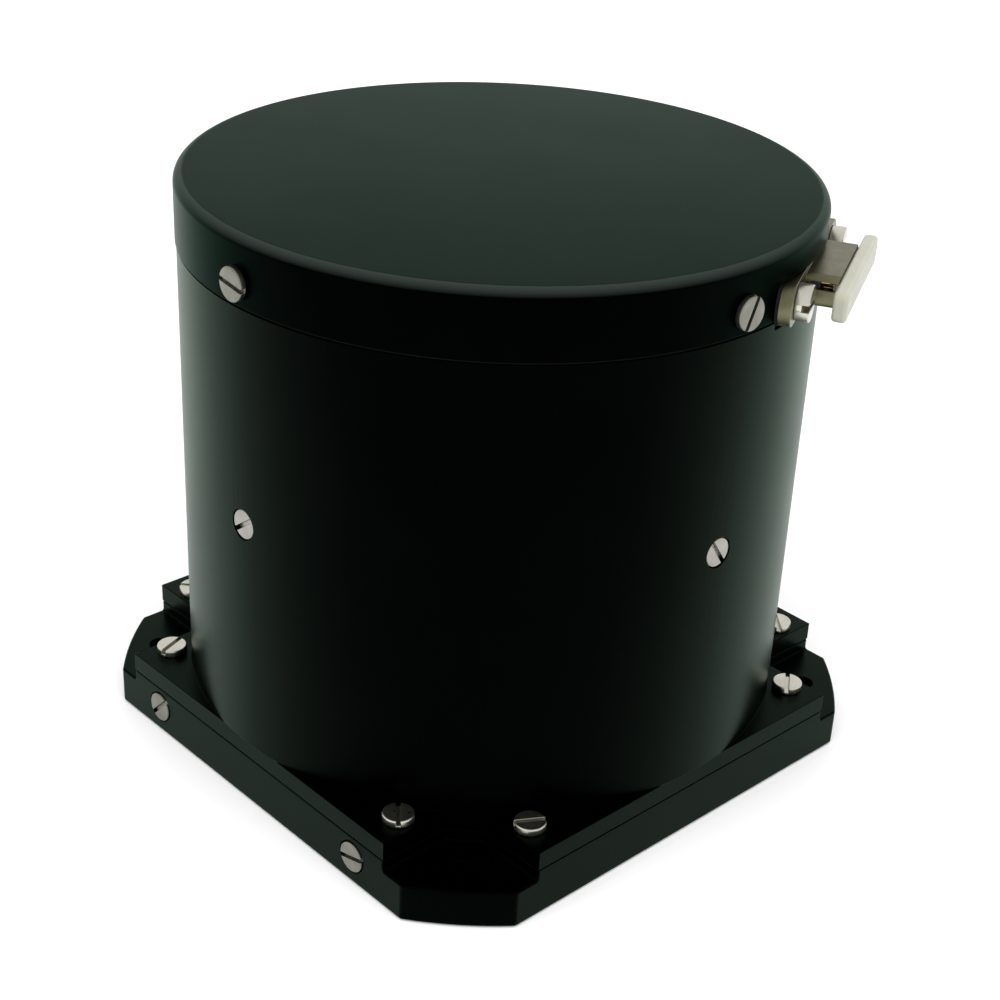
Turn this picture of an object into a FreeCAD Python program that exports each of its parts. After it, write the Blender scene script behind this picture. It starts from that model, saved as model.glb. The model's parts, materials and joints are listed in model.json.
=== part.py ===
"""GNSS receiver in a round black housing on a square flanged base.

Millimetres, +Z up. The origin is the centre of the base's underside, on the axis of the
round housing. X and Y are square to the four flats of the base. Pieces on the side of the
housing are built along +X and then turned about Z to their azimuth.
"""
import FreeCAD, Part
import math
import os

# Base plate
BASE_HALF = 49.5            # axis to each flat
BASE_CORNER_R = 62.0        # rounded corners, centred on the axis
BASE_TOP = 8.4
LUG_TOP = 6.4               # lowered corners that take the mounting screws
STEP_HALF = 33.2            # half length of the full-height part of each side
BASE_CHAMFER = 0.5
MOUNT_HALF = 40.0           # mounting holes at (+-40, +-40)
MOUNT_HOLE_R = 1.7
WELL_R = 36.0               # round well in the top of the base
WELL_FLOOR = 2.6
SEAL_R = 43.7               # centre line of the base seal
SEAL_WIRE_R = 0.68
GROOVE_HALF = 1.1
GROOVE_DEPTH = 1.4

# Two screws in one flat of the base
SIDE_SCREW_Y = 25.8
SIDE_SCREW_Z = 4.65
SIDE_BORE_R = 2.6           # their heads are let into the flat
SIDE_BORE_DEPTH = 1.0
SIDE_SCREW_LEN = 9.0
SIDE_HOLE_DEPTH = 12.0

# Housing
BODY_R = 50.0
WALL = 3.5
FLANGE_TOP = 11.6
LIP_R = 41.0                # inner lip that closes on the base seal
SEAM_Z = 85.6
RIM_R = 46.2                # reduced rim that the lid fits over
RIM_WALL = 3.5
RIM_TOP = 93.0
SHOULDER = 4.0
FLANGE_SCREW_LONG = 44.0    # flange screws at (+-44, +-30) and (+-30, +-44)
FLANGE_SCREW_SHORT = 30.0
FLANGE_SCREW_LEN = 8.4
FLANGE_SLOTS = (50.0, 150.0, 20.0, 131.0, 50.0, 38.0, 242.0, 279.0)
BODY_SCREW_Z = 51.0
LID_SCREW_Z = 89.4
SIDE_AZIMUTHS = (0.0, 90.0, 180.0, 270.0)

# Lid
GASKET_H = 0.4
LID_R = 50.2
LID_TOP = 96.5
LID_PLATE = 2.5
LID_BORE_R = 46.4
LID_EDGE_R = 1.6

# Screws: head radius, head height, shank radius; the slot is a fraction of the head
M3 = (2.6, 1.1, 1.45)
M25 = (2.4, 1.7, 1.2)
M25_PAN = (2.5, 1.3, 1.2)
THREAD_GAP = 0.04           # radial gap of a shank in its thread
CLEAR_GAP = 0.2             # radial gap of a shank in a clearance hole
COUNTERBORE_R = 2.5
COUNTERBORE_DEPTH = 1.8
SLOT_WIDTH = 0.7
SLOT_DEPTH = 0.75
HEAD_ROUND = 0.35

# Side connector, with its cap; u is the distance from the housing axis
PORT_AZIMUTH = -61.5
PORT_Z = 88.0
FACET_U = 47.0              # flat milled across the lid and the top of the housing
FACET_HALF_H = 3.6
FACET_HALF_T = 20.0
PORT_GASKET = 0.4
FLANGE_W, FLANGE_H, FLANGE_T = 36.6, 6.3, 1.9
FLANGE_END_R = 3.1
SHROUD_W, SHROUD_H, SHROUD_WALL = 16.8, 5.0, 0.6
SHROUD_LEN = 5.0
SHROUD_R = 1.2
LATCH_U = (0.8, 4.4)        # side slots of the shroud, measured from the flange's face
LATCH_Z = (0.3, 1.5)        # and from the connector's axis
TAIL_W, TAIL_H = 16.4, 4.2
PORT_TAIL_U = 42.0
PORT_WINDOW_GAP = 0.2
RIM_NOTCH_HALF = 10.0
RIM_HOLE_GAP = 0.4          # the rim clears the ends of the connector's screws
PORT_SCREW_T = 13.4
PORT_SCREW = (2.75, 2.2, 1.2)
PORT_SCREW_LEN = 6.0
PORT_SLOT = (1.0, 1.1)
CONTACT_PITCH = 1.27
CONTACT_R = 0.25
CONTACT_COLUMNS = 11
CONTACT_ROW_Z = 0.95
CONTACT_TIP_U = 52.9
INSERT_FACE_U = 51.5
CAP_W, CAP_H, CAP_T = 28.1, 4.65, 2.15
CAP_PLUG_LEN = 1.0
CAP_GAP = 0.1

# Chassis and board stack
PAD_R = 42.7                # pads inside the housing that the chassis is drawn against
PAD_HALF = 6.0
CHASSIS_R = 42.5
CHASSIS_WALL = 4.0
SHELF_Z = 46.5
SHELF_T = 2.0
CHASSIS_TOP = 55.5
SHELF_WINDOW = (32.0, 9.0)
SHELF_HOLE_R = 7.0
SHELF_HOLE_AT = 29.0
BODY_SCREW_LEN = 9.0
POST_HALF = 24.0            # stand-offs at (+-24, +-24)
POST_R = 2.5
STUD_R = 1.45
STUD_HOLE_R = 1.5
STUD_LEN = 6.0
BOARD_R = 42.0
BOARD_T = 1.6
LOWER_BOARD_Z = 34.9
UPPER_BOARD_Z = 60.5
STACK_W, STACK_D = 26.0, 5.0
RISER_U = 36.4
RISER_T = 1.6
RISER_HALF = 12.0
RISER_TOP = 93.6
RISER_FOOT = 64.0
HEADER_TOP = 68.1
HEADER_WALL = 1.0

# Antenna stack
PLANE_Z = 79.0
PLANE_T = 1.2
PLANE_R = 38.0
PLANE_FLAT_U = 34.9
PATCH = 36.0
PATCH_T = 6.0
ELECTRODE = 30.0
ELECTRODE_T = 0.3
ELECTRODE_TRIM_U = 18.9     # one corner is trimmed, for circular polarisation
FEED_X = 4.5
FEED_R = 0.6
LNA_X, LNA_Y, LNA_T = 46.0, 30.0, 1.2
LNA_CAN = 26.0
LNA_CAN_H = 3.0
COAX_X = 18.5
COAX_JACK_R, COAX_JACK_H = 2.2, 3.0
COAX_R = 1.6

# Components on the boards: width, depth, height and place, or radius, height and place
RECEIVER_CAN = (28.0, 28.0, 3.2, 0.0, 0.0)
OSCILLATOR = (9.0, 7.0, 3.0, 0.0, 24.0)
PROCESSOR = (14.0, 14.0, 1.4, 0.0, -26.0)
INDUCTOR = (6.5, 6.0, -31.0, 0.0)
CAPACITOR_R, CAPACITOR_H, CAPACITOR_X = 5.0, 12.5, 26.0
CAPACITOR_PLACES = (-12.0, 0.0, 12.0)
SUPPLY_W, SUPPLY_D, SUPPLY_H, SUPPLY_X = 36.0, 26.0, 9.0, -3.0
CELL_AT = (-26.0, 2.0)
CELL_R, CELL_H = 6.25, 2.0
CUP_R, CUP_BORE_R, CUP_H, CUP_FLOOR = 7.4, 6.4, 3.0, 0.6

FIT = 0.02                  # gap between seated faces
WALL_CUT = (40.0, 60.0)     # reach of a cut through the wall
PORT_CUT = (30.0, 60.0)     # reach of a cut through the wall and the riser board
FAR = 200.0                 # longer than anything in the model


def vec(x, y, z):
    return FreeCAD.Vector(x, y, z)


def box(x0, x1, y0, y1, z0, z1):
    return Part.makeBox(x1 - x0, y1 - y0, z1 - z0, vec(x0, y0, z0))


def centred_box(width, depth, z0, z1, x=0.0, y=0.0):
    return box(x - width / 2, x + width / 2, y - depth / 2, y + depth / 2, z0, z1)


def cylinder(radius, z0, z1, x=0.0, y=0.0):
    return Part.makeCylinder(radius, z1 - z0, vec(x, y, z0))


def rod_u(radius, u0, u1, t, z):
    """A cylinder along +X, the local outward direction."""
    return Part.makeCylinder(radius, u1 - u0, vec(u0, t, z), vec(1, 0, 0))


def ring(outer, inner, z0, z1):
    return cylinder(outer, z0, z1).cut(cylinder(inner, z0 - 1, z1 + 1))


def turned(shape, azimuth):
    copy = shape.copy()
    copy.rotate(vec(0, 0, 0), vec(0, 0, 1), azimuth)
    return copy


def rounded_plate_u(width, height, radius, u0, u1, z=PORT_Z):
    """A plate facing +X, centred on t = 0 and on height z, with rounded corners."""
    plate = box(u0, u1, -width / 2, width / 2, z - height / 2, z + height / 2)
    edges = [e for e in plate.Edges if abs(e.Vertexes[0].X - e.Vertexes[-1].X) > 0.5 * (u1 - u0)]
    return plate.makeFillet(radius, edges)


def cross(z0, z1, half=BASE_HALF, step=STEP_HALF):
    along_x = centred_box(2 * half, 2 * step, z0, z1)
    along_y = centred_box(2 * step, 2 * half, z0, z1)
    return along_x.fuse(along_y)


def corners(value):
    return [(sx * value, sy * value) for sx in (-1, 1) for sy in (-1, 1)]


def flange_screw_points():
    points = []
    for sx in (-1, 1):
        for sy in (-1, 1):
            points.append((sx * FLANGE_SCREW_LONG, sy * FLANGE_SCREW_SHORT))
            points.append((sx * FLANGE_SCREW_SHORT, sy * FLANGE_SCREW_LONG))
    return points


def cut_all(shape, tools):
    return shape.cut(Part.makeCompound(tools))


def slotted_screw(size, length, slot_angle, slot_size=(SLOT_WIDTH, SLOT_DEPTH)):
    """Head on z = 0 and up, shank below; the slot lies across the top."""
    head_r, head_h, shank_r = size
    slot_width, slot_depth = slot_size
    head = cylinder(head_r, 0, head_h)
    rim = [e for e in head.Edges if abs(e.BoundBox.ZMin - head_h) < 1e-6 and e.Length > head_r]
    head = head.makeFillet(HEAD_ROUND, rim)
    slot = centred_box(3 * head_r, slot_width, head_h - slot_depth, head_h + 1)
    slot.rotate(vec(0, 0, 0), vec(0, 0, 1), slot_angle)
    shank = cylinder(shank_r, -length, 0)
    return head.cut(slot).fuse(shank).removeSplitter()


def screw_down(size, length, x, y, z, slot_angle=0.0):
    screw = slotted_screw(size, length, slot_angle)
    screw.translate(vec(x, y, z))
    return screw


def screw_up(size, length, x, y, z):
    screw = slotted_screw(size, length, 0.0)
    screw.rotate(vec(0, 0, 0), vec(1, 0, 0), 180)
    screw.translate(vec(x, y, z))
    return screw


def screw_in(size, length, u, t, z, slot_angle=0.0, slot_size=(SLOT_WIDTH, SLOT_DEPTH)):
    """A screw driven inwards along -X, with its head's seat at u."""
    screw = slotted_screw(size, length, slot_angle, slot_size)
    screw.rotate(vec(0, 0, 0), vec(0, 1, 0), 90)
    screw.translate(vec(u, t, z))
    return screw


def save(name, *shapes):
    solids = [solid for shape in shapes for solid in shape.Solids]
    result = solids[0] if len(solids) == 1 else Part.makeCompound(solids)
    result.exportStep("parts/%s.step" % name)


# Base ---------------------------------------------------------------------------------------

def base_outline(z0, z1):
    return centred_box(2 * BASE_HALF, 2 * BASE_HALF, z0, z1).common(cylinder(BASE_CORNER_R, z0, z1))


def base_plate():
    foot = base_outline(0, LUG_TOP)
    lower = [e for e in foot.Edges if e.BoundBox.ZMax < 1e-6]
    foot = foot.makeChamfer(BASE_CHAMFER, lower)
    raised = cross(LUG_TOP, BASE_TOP).fuse(cylinder(BODY_R, LUG_TOP, BASE_TOP).common(
        centred_box(2 * BASE_HALF, 2 * BASE_HALF, LUG_TOP, BASE_TOP)))
    plate = foot.fuse(raised)
    cuts = [cylinder(WELL_R, WELL_FLOOR, BASE_TOP + 1)]
    cuts.append(ring(SEAL_R + GROOVE_HALF, SEAL_R - GROOVE_HALF, BASE_TOP - GROOVE_DEPTH, BASE_TOP + 1))
    for x, y in corners(MOUNT_HALF):
        cuts.append(cylinder(MOUNT_HOLE_R, -1, LUG_TOP + 1, x, y))
    for x, y in flange_screw_points():
        cuts.append(cylinder(M25[2] + THREAD_GAP, LUG_TOP - 4, BASE_TOP + 1, x, y))
    for side in (-1, 1):
        hole = rod_u(M25[2] + THREAD_GAP, BASE_HALF - SIDE_HOLE_DEPTH, FAR, side * SIDE_SCREW_Y, SIDE_SCREW_Z)
        bore = rod_u(SIDE_BORE_R, BASE_HALF - SIDE_BORE_DEPTH, FAR, side * SIDE_SCREW_Y, SIDE_SCREW_Z)
        cuts.append(turned(hole.fuse(bore), 180))
    return cut_all(plate, cuts).removeSplitter()


def base_seal():
    return Part.makeTorus(SEAL_R, SEAL_WIRE_R, vec(0, 0, BASE_TOP - GROOVE_DEPTH + SEAL_WIRE_R + FIT))


def side_screws():
    seat = BASE_HALF - SIDE_BORE_DEPTH + FIT
    return [turned(screw_in(M25_PAN, SIDE_SCREW_LEN, seat, side * SIDE_SCREW_Y, SIDE_SCREW_Z, angle), 180)
            for side, angle in ((-1, 135.0), (1, 105.0))]


def flange_screws():
    screws = []
    for index, (x, y) in enumerate(flange_screw_points()):
        screws.append(screw_down(M25_PAN, FLANGE_SCREW_LEN, x, y, FLANGE_TOP + FIT, FLANGE_SLOTS[index]))
    return screws


# Housing ------------------------------------------------------------------------------------

def pads():
    pads_ring = ring(BODY_R, PAD_R, SHELF_Z, CHASSIS_TOP)
    bars = centred_box(FAR, 2 * PAD_HALF, SHELF_Z, CHASSIS_TOP)
    return pads_ring.common(bars.fuse(turned(bars, 90)))


def facet(top):
    """What the milled flat takes away, up to a height."""
    flat = box(FACET_U, FAR, -FACET_HALF_T, FACET_HALF_T, PORT_Z - FACET_HALF_H, top)
    return turned(flat, PORT_AZIMUTH)


def housing():
    block = cross(BASE_TOP + FIT, FLANGE_TOP).fuse(cylinder(BODY_R, BASE_TOP + FIT, FLANGE_TOP).common(
        centred_box(2 * BASE_HALF, 2 * BASE_HALF, BASE_TOP, FLANGE_TOP)))
    block = block.fuse(cylinder(BODY_R, FLANGE_TOP, SEAM_Z))
    block = block.fuse(cylinder(RIM_R, SEAM_Z, RIM_TOP))
    cuts = [cylinder(LIP_R, BASE_TOP - 1, RIM_TOP + 1)]
    cuts.append(cylinder(BODY_R - WALL, FLANGE_TOP, SEAM_Z - SHOULDER).cut(pads()))
    cuts.append(cylinder(RIM_R - RIM_WALL, SEAM_Z - SHOULDER - 1, RIM_TOP + 1))
    for x, y in flange_screw_points():
        cuts.append(cylinder(M25[2] + CLEAR_GAP, BASE_TOP - 1, FLANGE_TOP + 1, x, y))
    for azimuth in SIDE_AZIMUTHS:
        cuts.append(turned(rod_u(M25[2] + CLEAR_GAP, *WALL_CUT, 0, BODY_SCREW_Z), azimuth))
        cuts.append(turned(rod_u(COUNTERBORE_R, BODY_R - COUNTERBORE_DEPTH, 60, 0, BODY_SCREW_Z), azimuth))
        cuts.append(turned(rod_u(M3[2] + THREAD_GAP, *WALL_CUT, 0, LID_SCREW_Z), azimuth))
    cuts.append(turned(box(*WALL_CUT, -RIM_NOTCH_HALF, RIM_NOTCH_HALF, SEAM_Z, RIM_TOP + 1), PORT_AZIMUTH))
    cuts.append(facet(SEAM_Z + 1))
    cuts += [turned(hole, PORT_AZIMUTH) for hole in port_holes(PORT_SCREW[2] + RIM_HOLE_GAP)]
    return cut_all(block, cuts).removeSplitter()


def body_screws():
    angles = (60.0, 15.0, 126.0, 35.0)
    seat = BODY_R - COUNTERBORE_DEPTH + FIT
    return [turned(screw_in(M25, BODY_SCREW_LEN, seat, 0, BODY_SCREW_Z, angle), azimuth)
            for azimuth, angle in zip(SIDE_AZIMUTHS, angles)]


def lid_gasket():
    sheet = ring(BODY_R - 0.4, RIM_R + 0.2, SEAM_Z + FIT, SEAM_Z + GASKET_H - FIT)
    return sheet.cut(facet(PORT_Z)).cut(port_window())


def lid_profile():
    """Half section of the lid, turned about Z."""
    floor = SEAM_Z + GASKET_H
    roof = LID_TOP - LID_PLATE
    arc_mid = vec(LID_R - LID_EDGE_R * (1 - math.sqrt(0.5)), 0, LID_TOP - LID_EDGE_R * (1 - math.sqrt(0.5)))
    edges = [
        Part.LineSegment(vec(0, 0, LID_TOP), vec(LID_R - LID_EDGE_R, 0, LID_TOP)),
        Part.Arc(vec(LID_R - LID_EDGE_R, 0, LID_TOP), arc_mid, vec(LID_R, 0, LID_TOP - LID_EDGE_R)),
        Part.LineSegment(vec(LID_R, 0, LID_TOP - LID_EDGE_R), vec(LID_R, 0, floor)),
        Part.LineSegment(vec(LID_R, 0, floor), vec(LID_BORE_R, 0, floor)),
        Part.LineSegment(vec(LID_BORE_R, 0, floor), vec(LID_BORE_R, 0, roof)),
        Part.LineSegment(vec(LID_BORE_R, 0, roof), vec(0, 0, roof)),
        Part.LineSegment(vec(0, 0, roof), vec(0, 0, LID_TOP)),
    ]
    return Part.Face(Part.Wire([edge.toShape() for edge in edges]))


def port_window():
    """Opening for the connector's tail, open downwards."""
    width = TAIL_W + PORT_WINDOW_GAP
    upper = rounded_plate_u(width, TAIL_H + PORT_WINDOW_GAP, SHROUD_R, *WALL_CUT)
    lower = box(*WALL_CUT, -width / 2, width / 2, SEAM_Z - 1, PORT_Z)
    return turned(upper.fuse(lower), PORT_AZIMUTH)


def lid():
    shell = lid_profile().revolve(vec(0, 0, 0), vec(0, 0, 1), 360)
    shell = Part.Solid(shell) if shell.ShapeType == "Shell" else shell
    cuts = [turned(rod_u(M3[2] + CLEAR_GAP, *WALL_CUT, 0, LID_SCREW_Z), azimuth) for azimuth in SIDE_AZIMUTHS]
    cuts.append(facet(PORT_Z + FACET_HALF_H))
    cuts.append(port_window())
    cuts += [turned(hole, PORT_AZIMUTH) for hole in port_holes(PORT_SCREW[2] + THREAD_GAP)]
    return cut_all(shell, cuts)


def lid_screws():
    angles = (40.0, 10.0, 82.0, 157.0)
    return [turned(screw_in(M3, 6.4, LID_R + FIT, 0, LID_SCREW_Z, angle), azimuth)
            for azimuth, angle in zip(SIDE_AZIMUTHS, angles)]


# Connector ----------------------------------------------------------------------------------

def port_back_u():
    return FACET_U + PORT_GASKET


def port_front_u():
    return port_back_u() + FLANGE_T


def port_holes(radius):
    return [rod_u(radius, *PORT_CUT, side * PORT_SCREW_T, PORT_Z) for side in (-1, 1)]


def port_gasket():
    sheet = rounded_plate_u(FLANGE_W, FLANGE_H, FLANGE_END_R, FACET_U + FIT, port_back_u() - FIT)
    window = rounded_plate_u(TAIL_W + PORT_WINDOW_GAP, TAIL_H + PORT_WINDOW_GAP, SHROUD_R, *WALL_CUT)
    return turned(cut_all(sheet, [window] + port_holes(PORT_SCREW[2] + CLEAR_GAP)), PORT_AZIMUTH)


def shroud_bore(u0, u1, gap=0.0):
    width = SHROUD_W - 2 * SHROUD_WALL - 0.4
    height = TAIL_H - SHROUD_WALL
    return rounded_plate_u(width - 2 * gap, height - 2 * gap, SHROUD_R - SHROUD_WALL, u0, u1)


def port_shell():
    flange = rounded_plate_u(FLANGE_W, FLANGE_H, FLANGE_END_R, port_back_u(), port_front_u())
    shroud = rounded_plate_u(SHROUD_W, SHROUD_H, SHROUD_R, port_front_u() - 1, port_front_u() + SHROUD_LEN)
    tail = rounded_plate_u(TAIL_W, TAIL_H, SHROUD_R, PORT_TAIL_U, port_back_u() + 1)
    shell = flange.fuse(shroud).fuse(tail)
    latch = box(port_front_u() + LATCH_U[0], port_front_u() + LATCH_U[1], -SHROUD_W, SHROUD_W,
                PORT_Z + LATCH_Z[0], PORT_Z + LATCH_Z[1])
    cuts = [shroud_bore(PORT_TAIL_U - 1, port_front_u() + SHROUD_LEN + 1), latch]
    return turned(cut_all(shell, cuts + port_holes(PORT_SCREW[2] + CLEAR_GAP)), PORT_AZIMUTH)


def contact_places():
    places = []
    for column in range(CONTACT_COLUMNS):
        t = (column - (CONTACT_COLUMNS - 1) / 2) * CONTACT_PITCH
        places.append((t - CONTACT_PITCH / 4, PORT_Z + CONTACT_ROW_Z))
        places.append((t + CONTACT_PITCH / 4, PORT_Z - CONTACT_ROW_Z))
    return places


def port_insert():
    block = shroud_bore(PORT_TAIL_U + 0.5, INSERT_FACE_U, FIT)
    holes = [rod_u(CONTACT_R + FIT, *PORT_CUT, t, z) for t, z in contact_places()]
    return turned(cut_all(block, holes), PORT_AZIMUTH)


def port_contacts():
    return [turned(rod_u(CONTACT_R, RISER_U - 0.8, CONTACT_TIP_U, t, z), PORT_AZIMUTH)
            for t, z in contact_places()]


def port_screws():
    seat = port_front_u() + FIT
    screws = [screw_in(PORT_SCREW, PORT_SCREW_LEN, seat, side * PORT_SCREW_T, PORT_Z, 90, PORT_SLOT)
              for side in (-1, 1)]
    return [turned(screw, PORT_AZIMUTH) for screw in screws]


def dust_cap():
    seat = port_front_u() + SHROUD_LEN + 0.05
    plate = rounded_plate_u(CAP_W, CAP_H, SHROUD_R, seat, seat + CAP_T)
    outer = [e for e in plate.Edges if e.BoundBox.XMin > seat + CAP_T - 1e-6]
    plate = plate.makeFillet(0.6, outer)
    plug = shroud_bore(seat - CAP_PLUG_LEN, seat + 0.5, CAP_GAP)
    return turned(plate.fuse(plug), PORT_AZIMUTH)


# Chassis and boards -------------------------------------------------------------------------

def chassis():
    drum = ring(CHASSIS_R, CHASSIS_R - CHASSIS_WALL, SHELF_Z, CHASSIS_TOP)
    shelf = cylinder(CHASSIS_R - CHASSIS_WALL / 2, SHELF_Z, SHELF_Z + SHELF_T)
    cuts = [centred_box(SHELF_WINDOW[0], SHELF_WINDOW[1], SHELF_Z - 1, SHELF_Z + SHELF_T + 1)]
    for x, y in corners(POST_HALF):
        cuts.append(cylinder(STUD_R + CLEAR_GAP, SHELF_Z - 1, SHELF_Z + SHELF_T + 1, x, y))
    for azimuth in SIDE_AZIMUTHS:
        thread = rod_u(M25[2] + THREAD_GAP, CHASSIS_R - CHASSIS_WALL - 1, FAR, 0, BODY_SCREW_Z)
        cut_out = cylinder(SHELF_HOLE_R, SHELF_Z - 1, SHELF_Z + SHELF_T + 1, SHELF_HOLE_AT, 0)
        cuts.append(turned(thread.fuse(cut_out), azimuth))
    return cut_all(drum.fuse(shelf), cuts).removeSplitter()


def lower_standoffs():
    posts = []
    for x, y in corners(POST_HALF):
        post = cylinder(POST_R, LOWER_BOARD_Z + BOARD_T + FIT, SHELF_Z - FIT, x, y)
        post = post.fuse(cylinder(STUD_R, SHELF_Z - 1, SHELF_Z + STUD_LEN, x, y))
        posts.append(post.cut(cylinder(STUD_HOLE_R, LOWER_BOARD_Z, LOWER_BOARD_Z + BOARD_T + STUD_LEN, x, y)))
    return posts


def upper_standoffs():
    posts = []
    for x, y in corners(POST_HALF):
        post = cylinder(POST_R, SHELF_Z + SHELF_T + FIT, UPPER_BOARD_Z - FIT, x, y)
        lower = cylinder(STUD_HOLE_R, SHELF_Z, SHELF_Z + STUD_LEN + 0.5, x, y)
        upper = cylinder(STUD_HOLE_R, UPPER_BOARD_Z - STUD_LEN, UPPER_BOARD_Z + 1, x, y)
        posts.append(post.cut(lower).cut(upper))
    return posts


def antenna_posts():
    posts = []
    foot = UPPER_BOARD_Z + BOARD_T
    for x, y in corners(POST_HALF):
        post = cylinder(POST_R, foot + FIT, PLANE_Z - FIT, x, y)
        post = post.fuse(cylinder(STUD_R, UPPER_BOARD_Z - STUD_LEN + 1, foot + 1, x, y))
        posts.append(post.cut(cylinder(STUD_HOLE_R, PLANE_Z - STUD_LEN, PLANE_Z + 1, x, y)))
    return posts


def round_board(z, hole_r):
    board = cylinder(BOARD_R, z, z + BOARD_T)
    return cut_all(board, [cylinder(hole_r, z - 1, z + BOARD_T + 1, x, y) for x, y in corners(POST_HALF)])


def lower_board_screws():
    return [screw_up(M3, STUD_LEN, x, y, LOWER_BOARD_Z - FIT) for x, y in corners(POST_HALF)]


def antenna_screws():
    return [screw_down(M3, STUD_LEN - 1, x, y, PLANE_Z + PLANE_T + FIT, 30.0) for x, y in corners(POST_HALF)]


def stack_plug():
    return centred_box(STACK_W, STACK_D, LOWER_BOARD_Z + BOARD_T + FIT, SHELF_Z + 1.0)


def stack_socket():
    return centred_box(STACK_W + 1.6, STACK_D + 1.6, SHELF_Z + 1.0 + FIT, UPPER_BOARD_Z - FIT)


def on_board(width, depth, height, x, y):
    """A component standing on the upper board."""
    z = UPPER_BOARD_Z + BOARD_T + FIT
    part = centred_box(width, depth, z, z + height, x, y)
    top = [e for e in part.Edges if e.BoundBox.ZMin > z + height - 1e-6]
    return part.makeChamfer(0.2, top)


def cell_holder():
    z = UPPER_BOARD_Z + BOARD_T + FIT
    cup = cylinder(CUP_R, z, z + CUP_H, *CELL_AT)
    return cup.cut(cylinder(CUP_BORE_R, z + CUP_FLOOR, z + CUP_H + 1, *CELL_AT))


def backup_cell():
    z = UPPER_BOARD_Z + BOARD_T + CUP_FLOOR + 2 * FIT
    return cylinder(CELL_R, z, z + CELL_H, *CELL_AT)


def under_board(radius, height, x, y):
    return cylinder(radius, LOWER_BOARD_Z - height, LOWER_BOARD_Z - FIT, x, y)


def capacitors():
    return [under_board(CAPACITOR_R, CAPACITOR_H, CAPACITOR_X, y) for y in CAPACITOR_PLACES]


def power_module():
    foot = LOWER_BOARD_Z - SUPPLY_H
    block = centred_box(SUPPLY_W, SUPPLY_D, foot, LOWER_BOARD_Z - FIT, SUPPLY_X, 0.0)
    lower = [e for e in block.Edges if e.BoundBox.ZMax < foot + 1e-6]
    return block.makeChamfer(0.6, lower)


def riser_header():
    z = UPPER_BOARD_Z + BOARD_T + FIT
    u0, u1 = RISER_U - HEADER_WALL, RISER_U + RISER_T + HEADER_WALL
    block = box(u0, u1, -RISER_HALF + 1, RISER_HALF - 1, z, HEADER_TOP)
    slot = box(RISER_U - FIT, RISER_U + RISER_T + FIT, -FAR, FAR, RISER_FOOT, HEADER_TOP + 1)
    return turned(block.cut(slot), PORT_AZIMUTH)


def riser_board():
    board = box(RISER_U, RISER_U + RISER_T, -RISER_HALF, RISER_HALF, RISER_FOOT + FIT, RISER_TOP)
    corner = box(RISER_U - 1, RISER_U + 3, RISER_HALF - 1.2, FAR, 0, HEADER_TOP + 1)
    mirror = box(RISER_U - 1, RISER_U + 3, -FAR, -RISER_HALF + 1.2, 0, HEADER_TOP + 1)
    holes = [rod_u(CONTACT_R + FIT, *PORT_CUT, t, z) for t, z in contact_places()]
    return turned(cut_all(board, [corner, mirror] + holes), PORT_AZIMUTH)


# Antenna ------------------------------------------------------------------------------------

def ground_plane():
    plate = cylinder(PLANE_R, PLANE_Z, PLANE_Z + PLANE_T)
    cuts = [cylinder(STUD_R + CLEAR_GAP, PLANE_Z - 1, PLANE_Z + 3, x, y) for x, y in corners(POST_HALF)]
    cuts.append(turned(box(PLANE_FLAT_U, FAR, -FAR, FAR, PLANE_Z - 1, PLANE_Z + 3), PORT_AZIMUTH))
    cuts.append(cylinder(2 * FEED_R, PLANE_Z - 1, PLANE_Z + 3, FEED_X, 0))
    return cut_all(plate, cuts)


def feed_hole(z0, z1):
    return cylinder(FEED_R + FIT, z0, z1, FEED_X, 0)


def patch_ceramic():
    z = PLANE_Z + PLANE_T + FIT
    slab = centred_box(PATCH, PATCH, z, z + PATCH_T)
    upright = [e for e in slab.Edges if e.BoundBox.ZLength > PATCH_T / 2]
    return slab.makeChamfer(1.5, upright).cut(feed_hole(z - 1, z + PATCH_T + 1))


def patch_electrode():
    z = PLANE_Z + PLANE_T + PATCH_T + 2 * FIT
    sheet = centred_box(ELECTRODE, ELECTRODE, z, z + ELECTRODE_T)
    trimmed = sheet.cut(turned(box(ELECTRODE_TRIM_U, FAR, -FAR, FAR, z - 1, z + 1), 45))
    return trimmed.cut(feed_hole(z - 1, z + 1))


def feed_pin():
    top = PLANE_Z + PLANE_T + PATCH_T + ELECTRODE_T + 0.3
    return cylinder(FEED_R, PLANE_Z - LNA_T - 0.5, top, FEED_X, 0)


def lna_board():
    board = centred_box(LNA_X, LNA_Y, PLANE_Z - LNA_T, PLANE_Z - FIT)
    return board.cut(feed_hole(PLANE_Z - 3, PLANE_Z + 1))


def lna_can():
    z1 = PLANE_Z - LNA_T - FIT
    can = centred_box(LNA_CAN, LNA_CAN, z1 - LNA_CAN_H, z1)
    return can.cut(centred_box(LNA_CAN - 0.8, LNA_CAN - 0.8, z1 - LNA_CAN_H + 0.4, z1 + 1))


def coax_jacks():
    foot = UPPER_BOARD_Z + BOARD_T + FIT
    head = PLANE_Z - LNA_T - FIT
    lower = cylinder(COAX_JACK_R, foot, foot + COAX_JACK_H, COAX_X, 0)
    upper = cylinder(COAX_JACK_R, head - COAX_JACK_H, head, COAX_X, 0)
    return [lower, upper]


def coax_bullet():
    foot = UPPER_BOARD_Z + BOARD_T + COAX_JACK_H + 2 * FIT
    head = PLANE_Z - LNA_T - COAX_JACK_H - 2 * FIT
    return cylinder(COAX_R, foot, head, COAX_X, 0)


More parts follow.
